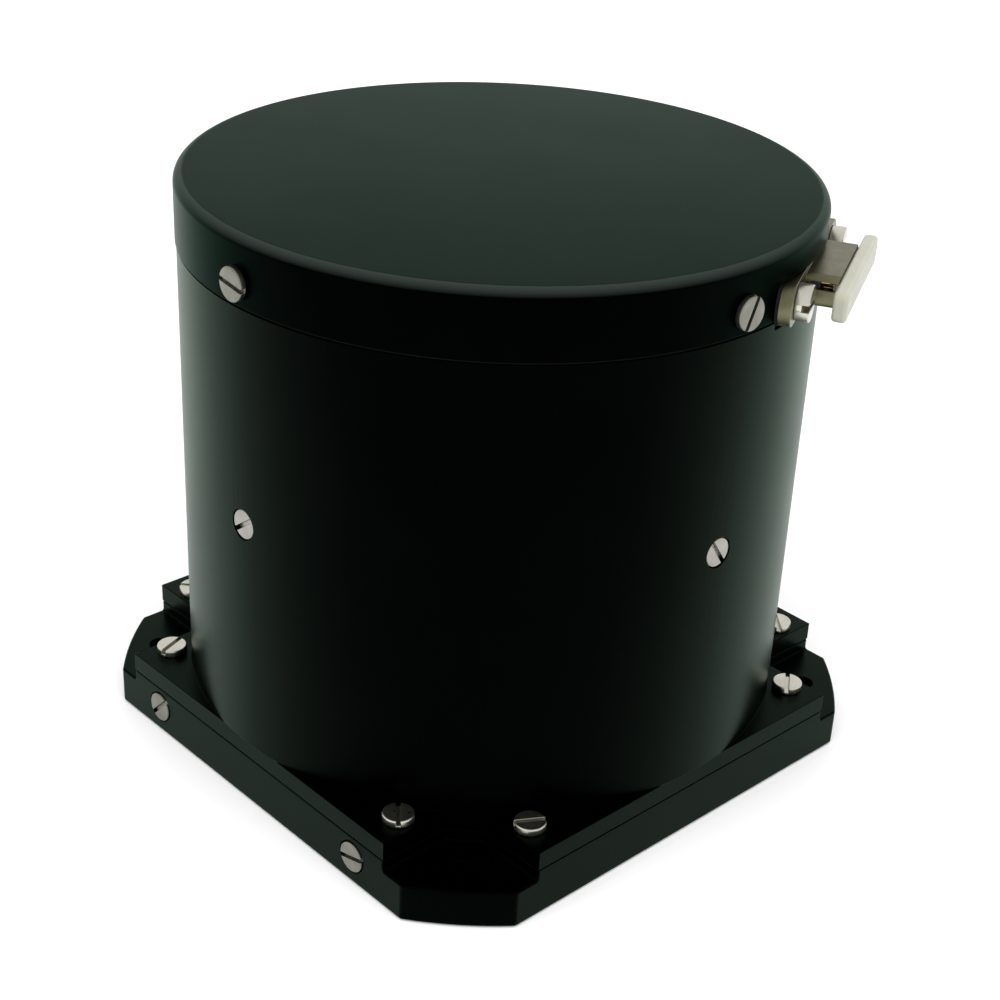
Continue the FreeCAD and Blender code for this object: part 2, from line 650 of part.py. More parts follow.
def main():
    os.makedirs("parts", exist_ok=True)
    save("base_plate", base_plate())
    save("base_seal", base_seal())
    save("side_screws", *side_screws())
    save("flange_screws", *flange_screws())
    save("housing", housing())
    save("body_screws", *body_screws())
    save("lid_gasket", lid_gasket())
    save("lid", lid())
    save("lid_screws", *lid_screws())
    save("connector_gasket", port_gasket())
    save("connector_shell", port_shell())
    save("connector_insert", port_insert())
    save("connector_contacts", *port_contacts())
    save("connector_screws", *port_screws())
    save("dust_cap", dust_cap())
    save("chassis", chassis())
    save("lower_standoffs", *lower_standoffs())
    save("upper_standoffs", *upper_standoffs())
    save("interface_board", round_board(LOWER_BOARD_Z, STUD_R + CLEAR_GAP))
    save("interface_board_screws", *lower_board_screws())
    save("power_module", power_module())
    save("capacitors", *capacitors())
    save("power_inductor", under_board(*INDUCTOR))
    save("stack_plug", stack_plug())
    save("stack_socket", stack_socket())
    save("receiver_board", round_board(UPPER_BOARD_Z, STUD_R + CLEAR_GAP))
    save("receiver_module_can", on_board(*RECEIVER_CAN))
    save("clock_oscillator", on_board(*OSCILLATOR))
    save("processor", on_board(*PROCESSOR))
    save("backup_cell_holder", cell_holder())
    save("backup_cell", backup_cell())
    save("riser_header", riser_header())
    save("riser_board", riser_board())
    save("antenna_posts", *antenna_posts())
    save("antenna_ground_plane", ground_plane())
    save("antenna_screws", *antenna_screws())
    save("antenna_ceramic", patch_ceramic())
    save("antenna_electrode", patch_electrode())
    save("antenna_feed_pin", feed_pin())
    save("amplifier_board", lna_board())
    save("amplifier_can", lna_can())
    save("coax_jacks", *coax_jacks())
    save("coax_bullet", coax_bullet())


main()
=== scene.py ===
"""Round black receiver housing on a square flanged base, with a screwed lid and a capped side connector.

Sizes are in millimetres and are scaled to metres when a piece is finished. Pieces on the side
of the housing are built along +X, the local outward direction, and then turned to their azimuth.
"""
import json
import math
import bpy
import bmesh
from mathutils import Matrix, Vector


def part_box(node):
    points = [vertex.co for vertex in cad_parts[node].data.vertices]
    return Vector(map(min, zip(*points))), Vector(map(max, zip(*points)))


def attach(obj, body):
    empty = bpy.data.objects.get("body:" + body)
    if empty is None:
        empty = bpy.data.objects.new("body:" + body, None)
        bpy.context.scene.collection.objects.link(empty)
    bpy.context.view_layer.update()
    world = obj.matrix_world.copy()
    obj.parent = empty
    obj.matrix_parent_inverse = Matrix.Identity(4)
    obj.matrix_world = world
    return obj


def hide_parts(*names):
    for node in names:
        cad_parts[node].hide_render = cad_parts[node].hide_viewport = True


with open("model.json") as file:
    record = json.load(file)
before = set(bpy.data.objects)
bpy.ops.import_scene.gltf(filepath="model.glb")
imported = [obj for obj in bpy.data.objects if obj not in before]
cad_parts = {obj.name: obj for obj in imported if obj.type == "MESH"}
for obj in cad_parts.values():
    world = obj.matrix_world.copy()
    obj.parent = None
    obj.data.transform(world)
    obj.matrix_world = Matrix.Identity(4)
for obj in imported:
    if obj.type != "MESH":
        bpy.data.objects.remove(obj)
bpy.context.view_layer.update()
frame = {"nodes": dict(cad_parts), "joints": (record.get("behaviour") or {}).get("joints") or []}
MM = 0.001


def low(node, axis):
    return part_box(node)[0][axis] / MM


def high(node, axis):
    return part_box(node)[1][axis] / MM


X, Y, Z = 0, 1, 2

# Base and flange
BASE_HALF = high("base_plate", X)
BASE_TOP = high("base_plate", Z)
BASE_CORNER_R = 62.0
LUG_TOP = 6.4
STEP_HALF = 33.2
MOUNT_HALF = 40.0
MOUNT_HOLE_R = 1.7
HOUSING_FOOT = low("housing", Z)
FLANGE_TOP = 11.6
FLANGE_SCREW_LONG, FLANGE_SCREW_SHORT = 44.0, 30.0
SIDE_SCREW_Y = 25.8
SIDE_SCREW_Z = (low("side_screws", Z) + high("side_screws", Z)) / 2
SIDE_BORE_R, SIDE_BORE_DEPTH = 2.6, 1.0
BASE_BEVEL = 0.35

# Housing and lid
BODY_R = high("housing", X)
BORE_R = 46.5
LIP_R, LIP_CUT_TOP = 41.0, 20.0
SEAM_Z = low("lid_gasket", Z)
RIM_R, RIM_BORE_R = 46.2, 42.7
RIM_TOP = high("housing", Z)
RIM_DEPTH = 4.0
HOUSING_BEVEL = 0.1
BODY_SCREW_Z = (low("body_screws", Z) + high("body_screws", Z)) / 2
COUNTERBORE_R, COUNTERBORE_DEPTH = 2.5, 1.8
LID_R = high("lid", X)
LID_FOOT = low("lid", Z)
LID_TOP = high("lid", Z)
LID_BORE_R, LID_PLATE, LID_EDGE_R = 46.4, 2.5, 1.6
LID_BEVEL = 0.15
LID_SCREW_Z = (low("lid_screws", Z) + high("lid_screws", Z)) / 2
SIDE_AZIMUTHS = (0, 90, 180, 270)
ROUND_CREASE = 15

# Screw heads: radius, height, shank radius
M3 = (2.6, 1.1, 1.4)
M25 = (2.4, 1.7, 1.2)
M25_PAN = (2.5, 1.3, 1.2)
PORT_SCREW = (2.75, 2.2, 1.2)
CROWN_R, HEAD_FOOT, STUB, HEAD_BEVEL = 0.25, 0.12, 1.2, 0.06

# Slots: width and depth, and how far each screw's slot is turned, in degrees
SLOT, PORT_SLOT = (0.7, 0.75), (1.0, 1.1)
FLANGE_SLOTS = (50, 150, 20, 131, 50, 38, 242, 279)
SIDE_SLOTS = (135, 105)
BODY_SLOTS = (60, 15, 126, 35)
LID_SLOTS = (40, 10, 82, 157)
PORT_SLOT_TURN = 90

# Connector; u is the distance from the housing's axis
CAP_AXIS = frame["joints"][0]["axis"]
PORT_AZIMUTH = math.degrees(math.atan2(CAP_AXIS[Y], CAP_AXIS[X]))
PORT_Z = (low("connector_shell", Z) + high("connector_shell", Z)) / 2
FACET_U, FACET_HALF_H, FACET_HALF_T = 47.0, 3.6, 20.0
PORT_BACK_U, PORT_FRONT_U, PORT_MOUTH_U = 47.4, 49.3, 54.3
FLANGE_W, FLANGE_H, FLANGE_END_R = 36.6, 6.3, 3.1
SHROUD_W, SHROUD_H, SHROUD_R = 16.8, 5.0, 1.2
BORE_W, BORE_H, BORE_END_R = 15.2, 3.6, 0.6
PORT_BEVEL = 0.12
TAIL_W, TAIL_H, PORT_TAIL_U = 16.4, 4.2, 42.0
TAIL_GAP = 0.1
PORT_CUT_U = (40.0, 60.0)
LATCH_U, LATCH_Z = (0.8, 4.4), (0.3, 1.5)
RIM_NOTCH_HALF = 10.0
PORT_SCREW_T = 13.4
CAP_W, CAP_H, CAP_T, CAP_EDGE_R = 28.1, 4.65, 2.15, 0.6
CAP_SEAT_GAP, CAP_GAP, CAP_PLUG_LEN, CAP_BEVEL = 0.05, 0.1, 1.0, 0.04
CONTACT_PITCH, CONTACT_COLUMNS, CONTACT_ROW_Z = 1.27, 11, 0.95
CONTACT_R, CONTACT_TIP_U = 0.25, 52.9

ROUND_STEPS, SMALL_STEPS, PIN_STEPS = 256, 64, 16  # facets round a circle
FAR = 200.0  # reach of a cut that runs out of the part
MARGIN = 1.0  # how far a cut passes the face that it opens
OVERLAP = 0.5  # how far two solids run into each other before they are joined
ON_AXIS = 1e-6
MERGE_DISTANCE = 1e-4
FLAT_ANGLE = 0.4


# Mesh tools ---------------------------------------------------------------------------------

def new_object(name, bm):
    bmesh.ops.recalc_face_normals(bm, faces=bm.faces)
    mesh = bpy.data.meshes.new(name)
    bm.to_mesh(mesh)
    bm.free()
    obj = bpy.data.objects.new(name, mesh)
    bpy.context.scene.collection.objects.link(obj)
    return obj


def prism(outline, z0, z1):
    bm = bmesh.new()
    ground = [bm.verts.new((x, y, z0)) for x, y in outline]
    roof = [bm.verts.new((x, y, z1)) for x, y in outline]
    bm.faces.new(ground)
    bm.faces.new(roof)
    for i in range(len(outline)):
        j = (i + 1) % len(outline)
        bm.faces.new((ground[i], ground[j], roof[j], roof[i]))
    return new_object("prism", bm)


def lathe(profile, steps=ROUND_STEPS):
    """Turns a closed (radius, height) profile about Z; points on the axis close up to one vertex."""
    bm = bmesh.new()
    rings = []
    for radius, height in profile:
        if radius < ON_AXIS:
            rings.append([bm.verts.new((0, 0, height))] * steps)
        else:
            angles = [2 * math.pi * i / steps for i in range(steps)]
            rings.append([bm.verts.new((radius * math.cos(a), radius * math.sin(a), height))
                          for a in angles])
    for k, ring in enumerate(rings):
        after = rings[(k + 1) % len(rings)]
        if ring[0] is ring[1] and after[0] is after[1]:
            continue
        for i in range(steps):
            j = (i + 1) % steps
            corner = dict.fromkeys((ring[i], ring[j], after[j], after[i]))
            bm.faces.new(list(corner))
    return new_object("lathe", bm)


def block(x0, x1, y0, y1, z0, z1):
    return prism([(x0, y0), (x1, y0), (x1, y1), (x0, y1)], z0, z1)


def rod(radius, z0, z1, steps=SMALL_STEPS):
    return lathe([(0, z0), (radius, z0), (radius, z1), (0, z1)], steps)


def place(obj, matrix):
    obj.data.transform(matrix)
    return obj


def outward(u=0.0, t=0.0, z=0.0, azimuth=0.0, spin=0.0):
    """A piece built up +Z is spun, laid down along +X, moved and turned to its azimuth."""
    lay = Matrix.Rotation(math.radians(90), 4, "Y") @ Matrix.Rotation(math.radians(spin), 4, "Z")
    return Matrix.Rotation(math.radians(azimuth), 4, "Z") @ Matrix.Translation((u, t, z)) @ lay


def turn(azimuth):
    return Matrix.Rotation(math.radians(azimuth), 4, "Z")


def apply_modifiers(obj):
    graph = bpy.context.evaluated_depsgraph_get()
    graph.update()
    mesh = bpy.data.meshes.new_from_object(obj.evaluated_get(graph))
    obj.modifiers.clear()
    obj.data = mesh
    return obj


def carve(obj, *cutters, operation="DIFFERENCE"):
    for cutter in cutters:
        modifier = obj.modifiers.new("carve", "BOOLEAN")
        modifier.object = cutter
        modifier.operation = operation
        modifier.solver = "EXACT"
    apply_modifiers(obj)
    for cutter in cutters:
        bpy.data.objects.remove(cutter)
    return obj


def tidy(obj):
    """Merges what the boolean cuts left in pieces, so that bevels run clean."""
    bm = bmesh.new()
    bm.from_mesh(obj.data)
    bmesh.ops.remove_doubles(bm, verts=bm.verts, dist=MERGE_DISTANCE)
    bmesh.ops.dissolve_limit(bm, angle_limit=math.radians(FLAT_ANGLE), verts=bm.verts, edges=bm.edges)
    bm.to_mesh(obj.data)
    bm.free()
    return obj


def join(name, objects):
    bm = bmesh.new()
    for obj in objects:
        bm.from_mesh(obj.data)
        bpy.data.objects.remove(obj)
    mesh = bpy.data.meshes.new(name)
    bm.to_mesh(mesh)
    bm.free()
    joined = bpy.data.objects.new(name, mesh)
    bpy.context.scene.collection.objects.link(joined)
    return joined


def soften(obj, width, segments=3, angle=35):
    """Rounds every edge sharper than the angle; the width is in the object's own units."""
    edge = obj.modifiers.new("edges", "BEVEL")
    edge.width = width
    edge.segments = segments
    edge.limit_method = "ANGLE"
    edge.angle_limit = math.radians(angle)
    edge.use_clamp_overlap = False
    edge.miter_outer = "MITER_ARC"
    return obj


def finish_piece(obj, name, slot, body, material, *nodes, bevel=0.0, segments=3, angle=35):
    """Scales to metres, softens the edges, gives it its material, puts it under its body and hides the CAD
    nodes it stands for.
    """
    obj.name = name
    obj.data.transform(Matrix.Scale(MM, 4))
    if bevel:
        soften(obj, bevel * MM, segments, angle)
    for polygon in obj.data.polygons:
        polygon.use_smooth = True
    obj.data.set_sharp_from_angle(angle=math.radians(angle))
    if bevel:
        normals = obj.modifiers.new("normals", "WEIGHTED_NORMAL")
        normals.keep_sharp = False
        normals.weight = 80
    obj.data.materials.clear()
    obj.data.materials.append(material)
    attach(obj, body)
    if nodes:
        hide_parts(*nodes)
    return obj


# Outlines -----------------------------------------------------------------------------------

def arc(radius, start, stop, steps, centre=(0.0, 0.0)):
    angles = [math.radians(start + (stop - start) * i / steps) for i in range(steps + 1)]
    return [(centre[0] + radius * math.cos(a), centre[1] + radius * math.sin(a)) for a in angles]


def four_times(quarter):
    outline = []
    for k in range(4):
        c, s = round(math.cos(math.pi / 2 * k)), round(math.sin(math.pi / 2 * k))
        outline += [(c * x - s * y, s * x + c * y) for x, y in quarter]
    return outline


def foot_outline():
    reach = math.degrees(math.acos(BASE_HALF / BASE_CORNER_R))
    return four_times(arc(BASE_CORNER_R, reach, 90 - reach, 16))


def stepped_outline():
    """The square with its corners stepped in to the housing's circle."""
    start = math.degrees(math.asin(STEP_HALF / BODY_R))
    return four_times([(BASE_HALF, -STEP_HALF), (BASE_HALF, STEP_HALF)] + arc(BODY_R, start, 90 - start, 8))


def rounded_rectangle(width, height, radius, steps=10):
    outline = []
    for k, (sx, sy) in enumerate(((1, 1), (-1, 1), (-1, -1), (1, -1))):
        centre = (sx * (width / 2 - radius), sy * (height / 2 - radius))
        outline += arc(radius, 90 * k, 90 * k + 90, steps, centre)
    return outline


def port_plate(width, height, radius, u0, u1):
    """A plate facing +X at the connector's height; its outline's x is the tangent and y is up."""
    plate = prism(rounded_rectangle(width, height, radius), u0, u1)
    stand = Matrix(((0, 0, 1, 0), (1, 0, 0, 0), (0, 1, 0, PORT_Z), (0, 0, 0, 1)))
    return place(plate, stand)


# Materials ----------------------------------------------------------------------------------

def material(name):
    made = bpy.data.materials.new(name)
    made.use_nodes = True
    tree = made.node_tree
    shader = tree.nodes["Principled BSDF"]
    return made, tree, shader


def coordinates(tree):
    return tree.nodes.new("ShaderNodeTexCoord").outputs["Object"]


NOISE_LOW, NOISE_HIGH = 0.3, 0.7
NOISE_ROUGHNESS = 0.55

# Upward part of the surface normal: where the painted rim highlight starts, is full, starts to fade and ends
HIGHLIGHT_START, HIGHLIGHT_FULL = 0.22, 0.95
HIGHLIGHT_FADE, HIGHLIGHT_END = 0.985, 0.9995


def noise(tree, vector, scale, detail):
    node = tree.nodes.new("ShaderNodeTexNoise")
    node.inputs["Scale"].default_value = scale
    node.inputs["Detail"].default_value = detail
    node.inputs["Roughness"].default_value = NOISE_ROUGHNESS
    tree.links.new(vector, node.inputs["Vector"])
    return node.outputs["Fac"]


def remap(tree, value, low_value, high_value, start=NOISE_LOW, stop=NOISE_HIGH):
    node = tree.nodes.new("ShaderNodeMapRange")
    node.inputs["From Min"].default_value = start
    node.inputs["From Max"].default_value = stop
    node.inputs["To Min"].default_value = low_value
    node.inputs["To Max"].default_value = high_value
    tree.links.new(value, node.inputs["Value"])
    return node.outputs["Result"]


def tint(tree, value, dark, light):
    ramp = tree.nodes.new("ShaderNodeValToRGB")
    ramp.color_ramp.elements[0].position = NOISE_LOW
    ramp.color_ramp.elements[1].position = NOISE_HIGH
    ramp.color_ramp.elements[0].color = (*dark, 1)
    ramp.color_ramp.elements[1].color = (*light, 1)
    tree.links.new(value, ramp.inputs["Fac"])
    return ramp.outputs["Color"]


def bump(tree, shader, value, depth):
    """depth is in millimetres."""
    node = tree.nodes.new("ShaderNodeBump")
    node.inputs["Strength"].default_value = 1.0
    node.inputs["Distance"].default_value = depth * MM
    tree.links.new(value, node.inputs["Height"])
    tree.links.new(node.outputs["Normal"], shader.inputs["Normal"])


def paint_rim_highlight(tree, colour, painted_highlight):
    """Painted highlight: a lighter colour on the surfaces that slope between upright and level, where the
    rims catch light from above.
    """
    facing = tree.nodes.new("ShaderNodeNewGeometry")
    split = tree.nodes.new("ShaderNodeSeparateXYZ")
    tree.links.new(facing.outputs["Normal"], split.inputs["Vector"])
    slope = remap(tree, split.outputs["Z"], 0.0, 1.0, HIGHLIGHT_START, HIGHLIGHT_FULL)
    edge = remap(tree, split.outputs["Z"], 1.0, 0.0, HIGHLIGHT_FADE, HIGHLIGHT_END)
    both = tree.nodes.new("ShaderNodeMath")
    both.operation = "MULTIPLY"
    tree.links.new(slope, both.inputs[0])
    tree.links.new(edge, both.inputs[1])
    mix = tree.nodes.new("ShaderNodeMixRGB")
    tree.links.new(both.outputs["Value"], mix.inputs["Fac"])
    tree.links.new(colour, mix.inputs["Color1"])
    mix.inputs["Color2"].default_value = (*painted_highlight, 1)
    return mix.outputs["Color"]


def satin_black(name, dark, light, rough, sheen, painted_highlight=None):
    """Blasted metal under a black dye: almost no reflection face on, a cool sheen at grazing angles."""
    made, tree, shader = material(name)
    vector = coordinates(tree)
    cloud = noise(tree, vector, scale=45, detail=5)
    fine = noise(tree, vector, scale=2600, detail=2)
    colour = tint(tree, cloud, dark, light)
    # When given, a painted highlight: lighter colour on the rims that slope upward.
    if painted_highlight:
        colour = paint_rim_highlight(tree, colour, painted_highlight)
    tree.links.new(colour, shader.inputs["Base Color"])
    tree.links.new(remap(tree, cloud, rough - 0.015, rough + 0.02), shader.inputs["Roughness"])
    shader.inputs["Metallic"].default_value = 1.0
    shader.inputs["Specular Tint"].default_value = (*sheen, 1)
    bump(tree, shader, fine, depth=0.004)
    return made


def metal(name, dark, light, rough, grain=900, depth=0.003):
    made, tree, shader = material(name)
    vector = coordinates(tree)
    cloud = noise(tree, vector, scale=260, detail=5)
    fine = noise(tree, vector, scale=grain, detail=4)
    tree.links.new(tint(tree, cloud, dark, light), shader.inputs["Base Color"])
    tree.links.new(remap(tree, fine, rough - 0.03, rough + 0.03), shader.inputs["Roughness"])
    shader.inputs["Metallic"].default_value = 1.0
    bump(tree, shader, fine, depth)
    return made


def moulded(name, dark, light, rough, grain=1500, depth=0.006, subsurface=0.0, gloss=0.5):
    made, tree, shader = material(name)
    vector = coordinates(tree)
    cloud = noise(tree, vector, scale=120, detail=4)
    fine = noise(tree, vector, scale=grain, detail=3)
    tree.links.new(tint(tree, cloud, dark, light), shader.inputs["Base Color"])
    tree.links.new(remap(tree, fine, rough - 0.06, rough + 0.06), shader.inputs["Roughness"])
    shader.inputs["Specular IOR Level"].default_value = gloss
    if subsurface:
        shader.inputs["Subsurface Weight"].default_value = subsurface
        shader.inputs["Subsurface Radius"].default_value = (1.0, 0.95, 0.85)
        shader.inputs["Subsurface Scale"].default_value = 1.5 * MM
    bump(tree, shader, fine, depth)
    return made


def circuit_board(name):
    """Green solder mask with a woven substrate and rows of copper runs just showing."""
    made, tree, shader = material(name)
    vector = coordinates(tree)
    runs = tree.nodes.new("ShaderNodeTexBrick")
    runs.inputs["Scale"].default_value = 140
    runs.inputs["Mortar Size"].default_value = 0.06
    runs.inputs["Color1"].default_value = (0.012, 0.075, 0.030, 1)
    runs.inputs["Color2"].default_value = (0.016, 0.095, 0.038, 1)
    runs.inputs["Mortar"].default_value = (0.05, 0.18, 0.07, 1)
    tree.links.new(vector, runs.inputs["Vector"])
    tree.links.new(runs.outputs["Color"], shader.inputs["Base Color"])
    shader.inputs["Roughness"].default_value = 0.3
    bump(tree, shader, runs.outputs["Fac"], depth=0.02)
    return made


BODY_BLACK = satin_black("body_black", (0.0004, 0.0007, 0.0005), (0.0007, 0.0011, 0.0009), 0.32,
                         sheen=(0.72, 0.81, 0.75))
# The lid's black carries a painted highlight on its rounded top rim.
LID_BLACK = satin_black("lid_black", (0.0003, 0.0005, 0.0004), (0.0006, 0.0009, 0.0007), 0.33,
                        sheen=(0.555, 0.62, 0.588), painted_highlight=(0.041, 0.052, 0.046))
STEEL = metal("screw_steel", (0.27, 0.262, 0.235), (0.36, 0.352, 0.315), 0.32)
# The next two are the screw steel painted lighter and darker: painted highlight and painted shade for how
# brightly each screw set is lit.
LIT_SCREW_STEEL = metal("screw_steel_painted_lighter", (0.47, 0.455, 0.395), (0.59, 0.575, 0.50), 0.30)
SHADED_SCREW_STEEL = metal("screw_steel_painted_darker", (0.17, 0.168, 0.143), (0.25, 0.246, 0.21), 0.34)
NICKEL = metal("connector_plating", (0.106, 0.102, 0.058), (0.168, 0.16, 0.096), 0.36)
GOLD = metal("contact_gold", (0.72, 0.48, 0.16), (0.86, 0.62, 0.26), 0.22)
BRASS = metal("post_brass", (0.55, 0.40, 0.15), (0.70, 0.54, 0.24), 0.3)
TIN = metal("can_tin", (0.52, 0.52, 0.50), (0.68, 0.68, 0.66), 0.32)
CLEAR = metal("clear_anodised", (0.50, 0.51, 0.52), (0.62, 0.63, 0.64), 0.42)
SILVER = metal("fired_silver", (0.66, 0.65, 0.61), (0.82, 0.80, 0.76), 0.4, grain=2200, depth=0.006)
RUBBER = moulded("gasket_rubber", (0.004, 0.004, 0.004), (0.009, 0.009, 0.009), 0.75, gloss=0.15)
INSULATOR = moulded("insulator_black", (0.010, 0.010, 0.011), (0.018, 0.018, 0.019), 0.5)
FERRITE = moulded("ferrite", (0.02, 0.02, 0.022), (0.04, 0.04, 0.042), 0.7, grain=2500, depth=0.012)
CERAMIC = moulded("patch_ceramic", (0.60, 0.55, 0.45), (0.70, 0.66, 0.55), 0.55, grain=2800, depth=0.008)
CAP_WHITE = moulded("cap_white", (0.345, 0.345, 0.275), (0.39, 0.39, 0.32), 0.38,
                    grain=900, depth=0.01, subsurface=0.6)
BOARD = circuit_board("circuit_board")


# Base and housing ---------------------------------------------------------------------------

def base():
    plate = prism(foot_outline(), 0, LUG_TOP)
    carve(plate, prism(stepped_outline(), 0, BASE_TOP), operation="UNION")
    corners = [(sx * MOUNT_HALF, sy * MOUNT_HALF, 0) for sx in (-1, 1) for sy in (-1, 1)]
    holes = [place(rod(MOUNT_HOLE_R, -MARGIN, BASE_TOP + MARGIN), Matrix.Translation(at)) for at in corners]
    for side in (-1, 1):
        bore = rod(SIDE_BORE_R, BASE_HALF - SIDE_BORE_DEPTH, FAR)
        holes.append(place(bore, outward(0, side * SIDE_SCREW_Y, SIDE_SCREW_Z, 180)))
    carve(plate, *holes)
    finish_piece(tidy(plate), "base_casting", "black_anodised", "receiver", BODY_BLACK, "base_plate",
                 bevel=BASE_BEVEL)


def facet(top):
    """What the milled flat takes away, up to a height."""
    flat = block(FACET_U, PORT_CUT_U[1], -FACET_HALF_T, FACET_HALF_T, PORT_Z - FACET_HALF_H, top)
    return place(flat, turn(PORT_AZIMUTH))


def housing():
    throat = SEAM_Z - RIM_DEPTH
    wall = lathe([(BODY_R, FLANGE_TOP), (BODY_R, SEAM_Z), (RIM_R, SEAM_Z), (RIM_R, RIM_TOP),
                  (RIM_BORE_R, RIM_TOP), (RIM_BORE_R, throat), (BORE_R, throat), (BORE_R, FLANGE_TOP)])
    flange = prism(stepped_outline(), HOUSING_FOOT, FLANGE_TOP)
    carve(flange, rod(LIP_R, 0, LIP_CUT_TOP, ROUND_STEPS))
    carve(wall, flange, operation="UNION")
    cutters = []
    for azimuth in SIDE_AZIMUTHS:
        bore = rod(COUNTERBORE_R, BODY_R - COUNTERBORE_DEPTH, FAR)
        cutters.append(place(bore, outward(0, 0, BODY_SCREW_Z, azimuth)))
    notch = block(*PORT_CUT_U, -RIM_NOTCH_HALF, RIM_NOTCH_HALF, SEAM_Z, RIM_TOP + MARGIN)
    cutters.append(place(notch, turn(PORT_AZIMUTH)))
    cutters.append(facet(SEAM_Z + MARGIN))
    carve(wall, *cutters)
    finish_piece(tidy(wall), "housing_shell", "black_anodised", "receiver", BODY_BLACK, "housing",
                 bevel=HOUSING_BEVEL, angle=ROUND_CREASE)


def lid():
    edge = arc(LID_EDGE_R, 0, 90, 10, (LID_R - LID_EDGE_R, LID_TOP - LID_EDGE_R))
    profile = [(0, LID_TOP - LID_PLATE), (LID_BORE_R, LID_TOP - LID_PLATE), (LID_BORE_R, LID_FOOT),
               (LID_R, LID_FOOT)] + edge + [(0, LID_TOP)]
    cover = lathe(profile)
    window = port_plate(TAIL_W + 2 * TAIL_GAP, TAIL_H + 2 * TAIL_GAP, SHROUD_R, *PORT_CUT_U)
    half = TAIL_W / 2 + TAIL_GAP
    below = block(*PORT_CUT_U, -half, half, SEAM_Z - MARGIN, PORT_Z)
    cuts = [place(cut, turn(PORT_AZIMUTH)) for cut in (window, below)]
    carve(cover, facet(PORT_Z + FACET_HALF_H), *cuts)
    finish_piece(tidy(cover), "lid_cover", "black_radome", "receiver", LID_BLACK, "lid",
                 bevel=LID_BEVEL, angle=ROUND_CREASE)


# Screws -------------------------------------------------------------------------------------

def slotted_head(size, slot_size):
    """Cheese head on z = 0 with rounded rim, slot along X, and a stub of shank below."""
    radius, height, shank = size
    width, depth = slot_size
    foot = [(0, -STUB), (shank, -STUB), (shank, 0), (radius - HEAD_FOOT, 0), (radius, HEAD_FOOT)]
    crown = arc(CROWN_R, 0, 90, 5, (radius - CROWN_R, height - CROWN_R))
    head = lathe(foot + crown + [(0, height)], SMALL_STEPS)
    slot = block(-FAR, FAR, -width / 2, width / 2, height - depth, height + MARGIN)
    return tidy(carve(head, slot))


def screw_set(name, size, places, steel, node, slot_size=SLOT):
    """places are full matrices, one for each screw."""
    pattern = slotted_head(size, slot_size)
    screws = []
    for matrix in places:
        copy = bpy.data.objects.new("screw", pattern.data.copy())
        bpy.context.scene.collection.objects.link(copy)
        screws.append(place(copy, matrix))
    bpy.data.objects.remove(pattern)
    finish_piece(join(name, screws), name, "screw_steel", "receiver", steel, node,
                 bevel=HEAD_BEVEL, segments=2)


def upright(x, y, z, spin):
    return Matrix.Translation((x, y, z)) @ Matrix.Rotation(math.radians(spin), 4, "Z")


def flange_screw_places():
    spins = iter(FLANGE_SLOTS)
    for sx in (-1, 1):
        for sy in (-1, 1):
            for x, y in ((FLANGE_SCREW_LONG, FLANGE_SCREW_SHORT), (FLANGE_SCREW_SHORT, FLANGE_SCREW_LONG)):
                yield upright(sx * x, sy * y, FLANGE_TOP, next(spins))


def screws():
    screw_set("flange_screw_set", M25_PAN, flange_screw_places(), LIT_SCREW_STEEL, "flange_screws")
    seat = BASE_HALF - SIDE_BORE_DEPTH
    side = [outward(seat, t, SIDE_SCREW_Z, 180, spin)
            for t, spin in zip((-SIDE_SCREW_Y, SIDE_SCREW_Y), SIDE_SLOTS)]
    screw_set("side_screw_set", M25_PAN, side, SHADED_SCREW_STEEL, "side_screws")
    body = [outward(BODY_R - COUNTERBORE_DEPTH, 0, BODY_SCREW_Z, azimuth, spin)
            for azimuth, spin in zip(SIDE_AZIMUTHS, BODY_SLOTS)]
    screw_set("body_screw_set", M25, body, STEEL, "body_screws")
    cover = [outward(LID_R, 0, LID_SCREW_Z, azimuth, spin) for azimuth, spin in zip(SIDE_AZIMUTHS, LID_SLOTS)]
    screw_set("lid_screw_set", M3, cover, SHADED_SCREW_STEEL, "lid_screws")
    port = [turn(PORT_AZIMUTH) @ outward(PORT_FRONT_U, t, PORT_Z, 0, PORT_SLOT_TURN)
            for t in (-PORT_SCREW_T, PORT_SCREW_T)]
    screw_set("connector_screw_set", PORT_SCREW, port, LIT_SCREW_STEEL, "connector_screws", PORT_SLOT)


# Connector ----------------------------------------------------------------------------------

def contact_places():
    for column in range(CONTACT_COLUMNS):
        t = (column - (CONTACT_COLUMNS - 1) / 2) * CONTACT_PITCH
        yield t - CONTACT_PITCH / 4, PORT_Z + CONTACT_ROW_Z
        yield t + CONTACT_PITCH / 4, PORT_Z - CONTACT_ROW_Z


def connector():
    flange = port_plate(FLANGE_W, FLANGE_H, FLANGE_END_R, PORT_BACK_U, PORT_FRONT_U)
    shroud = port_plate(SHROUD_W, SHROUD_H, SHROUD_R, PORT_BACK_U + OVERLAP, PORT_MOUTH_U)
    tail = port_plate(TAIL_W, TAIL_H, SHROUD_R, PORT_TAIL_U, PORT_BACK_U + 2 * OVERLAP)
    carve(flange, shroud, tail, operation="UNION")
    bore = port_plate(BORE_W, BORE_H, BORE_END_R, PORT_TAIL_U - MARGIN, PORT_MOUTH_U + MARGIN)
    latch = block(PORT_FRONT_U + LATCH_U[0], PORT_FRONT_U + LATCH_U[1], -SHROUD_W, SHROUD_W,
                  PORT_Z + LATCH_Z[0], PORT_Z + LATCH_Z[1])
    carve(flange, bore, latch)
    place(flange, turn(PORT_AZIMUTH))
    finish_piece(tidy(flange), "connector_body", "nickel_plate", "receiver", NICKEL, "connector_shell",
                 bevel=PORT_BEVEL)


